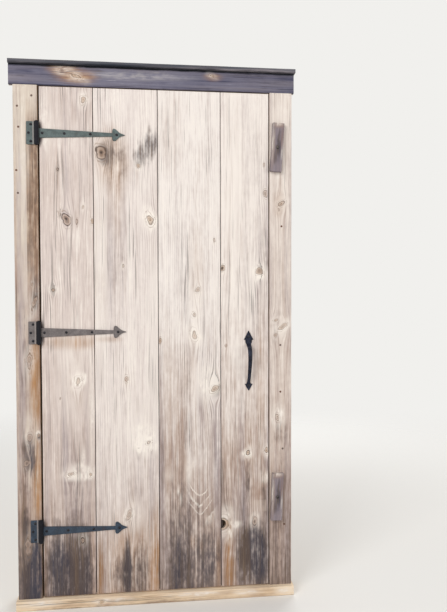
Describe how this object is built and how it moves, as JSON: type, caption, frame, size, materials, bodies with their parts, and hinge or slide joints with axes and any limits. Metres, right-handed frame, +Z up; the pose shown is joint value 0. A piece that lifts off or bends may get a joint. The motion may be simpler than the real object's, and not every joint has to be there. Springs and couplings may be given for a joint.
{
  "type": "barn door",
  "caption": "Ledged and braced plank door in a timber frame, on strap T-hinges, with a bowed pull handle and wooden turn buttons that fasten it.",
  "frame": {"origin": "middle of the doorway on the sill's underside, in the plane where the casings meet the posts", "axes": "+X from the hinge side to the latch side, +Y from the weather side to the barn side, +Z up"},
  "size_m": [1.095, 0.169, 2.093],
  "materials": {
    "weathered_boards": "bare softwood, silvered and stained by weather",
    "pale_timber": "bare softwood, lightly weathered",
    "grey_timber": "bare softwood, weathered dark grey",
    "frame_timber": "sawn softwood, out of the weather",
    "hinge_iron": "forged iron, dull grey",
    "black_iron": "forged iron, blackened",
    "rusty_steel": "plain steel, dulled by rust"
  },
  "bodies": {
    "frame": {"casing_nails": "rusty_steel", "drip_cap": "grey_timber", "head_beam": "frame_timber", "head_board": "grey_timber", "head_stop": "frame_timber", "left_casing": "pale_timber", "left_post": "frame_timber", "left_stop": "frame_timber", "lower_hinge_pin": "hinge_iron", "lower_hinge_plate": "hinge_iron", "lower_pivot_screw": "rusty_steel", "middle_hinge_pin": "hinge_iron", "middle_hinge_plate": "hinge_iron", "plate_screws": "hinge_iron", "right_casing": "pale_timber", "right_post": "frame_timber", "right_stop": "frame_timber", "sill": "pale_timber", "upper_hinge_pin": "hinge_iron", "upper_hinge_plate": "hinge_iron", "upper_pivot_screw": "rusty_steel"},
    "leaf": {"bottom_ledge": "frame_timber", "leaf_board_1": "weathered_boards", "leaf_board_2": "weathered_boards", "leaf_board_3": "weathered_boards", "leaf_board_4": "weathered_boards", "lower_brace": "frame_timber", "lower_hinge_strap": "hinge_iron", "middle_hinge_strap": "hinge_iron", "middle_ledge": "frame_timber", "top_ledge": "frame_timber", "upper_brace": "frame_timber", "upper_hinge_strap": "hinge_iron", "strap_screws": "hinge_iron", "ledge_screws": "rusty_steel", "brace_screws": "rusty_steel", "pull_handle": "black_iron", "handle_screws": "black_iron"},
    "upper_button": {"upper_turn_button": "grey_timber"},
    "lower_button": {"lower_turn_button": "grey_timber"}
  },
  "joints": [
    {"name": "door_swing", "type": "hinge", "parent": "frame", "child": "leaf", "pos_m": [-0.446, -0.0279, 1.0645], "axis": [0, 0, -1], "range_deg": [0, 170]},
    {"name": "upper_button_turn", "type": "hinge", "parent": "frame", "child": "upper_button", "pos_m": [0.473, -0.029, 1.783], "axis": [0, 1, 0], "continuous": true},
    {"name": "lower_button_turn", "type": "hinge", "parent": "frame", "child": "lower_button", "pos_m": [0.473, -0.029, 0.3995], "axis": [0, 1, 0], "continuous": true}
  ]
}
